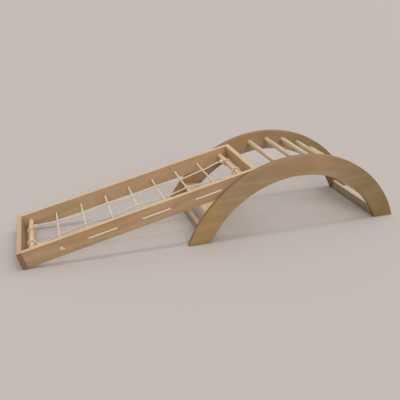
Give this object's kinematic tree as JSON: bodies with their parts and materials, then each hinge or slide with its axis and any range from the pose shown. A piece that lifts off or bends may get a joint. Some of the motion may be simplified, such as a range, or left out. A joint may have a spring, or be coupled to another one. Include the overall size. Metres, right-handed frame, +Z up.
{
  "type": "rocker arch with ramp",
  "caption": "Low wooden climbing arch with rungs between two curved plywood sides, and a framed net ramp hooked onto it.",
  "frame": {"origin": "on the floor, in the middle of the whole footprint of the arch with its ramp hooked on", "axes": "+X along the ramp from its foot towards the arch, +Y across the rungs towards the far side, +Z up"},
  "size_m": [1.566, 0.375, 0.3244],
  "materials": {
    "plywood": "clear-lacquered birch plywood",
    "slat_wood": "sanded and oiled beech",
    "pin_wood": "fluted beech dowel",
    "cord": "braided cotton",
    "screw_steel": "zinc-plated"
  },
  "bodies": {
    "arch": {"arch_side_near": "plywood", "arch_side_far": "plywood", "arch_rung_1": "slat_wood", "arch_rung_2": "slat_wood", "arch_rung_3": "slat_wood", "arch_rung_4": "slat_wood", "arch_rung_5": "slat_wood", "arch_rung_6": "slat_wood", "hook_dowel": "slat_wood", "step_board_left": "slat_wood", "step_board_right": "slat_wood", "foot_rail_left": "plywood", "foot_rail_right": "plywood", "step_board_pins": "pin_wood", "foot_rail_pins": "pin_wood"},
    "ramp": {"ramp_side_near": "plywood", "ramp_side_far": "plywood", "ramp_foot_board": "plywood", "ramp_head_board": "plywood", "ramp_bar_low": "slat_wood", "ramp_bar_high": "slat_wood", "foot_board_screws": "screw_steel", "head_board_pins": "pin_wood", "net_cross_cord": "cord", "net_long_cord_near": "cord", "net_long_cord_far": "cord", "net_end_knots": "cord", "net_bar_knots": "cord"}
  },
  "joints": [
    {"name": "ramp_hinge", "type": "hinge", "parent": "arch", "child": "ramp", "pos_m": [0.1592, 0, 0.23423], "axis": [0, 1, 0], "range_deg": [0, 60]}
  ]
}
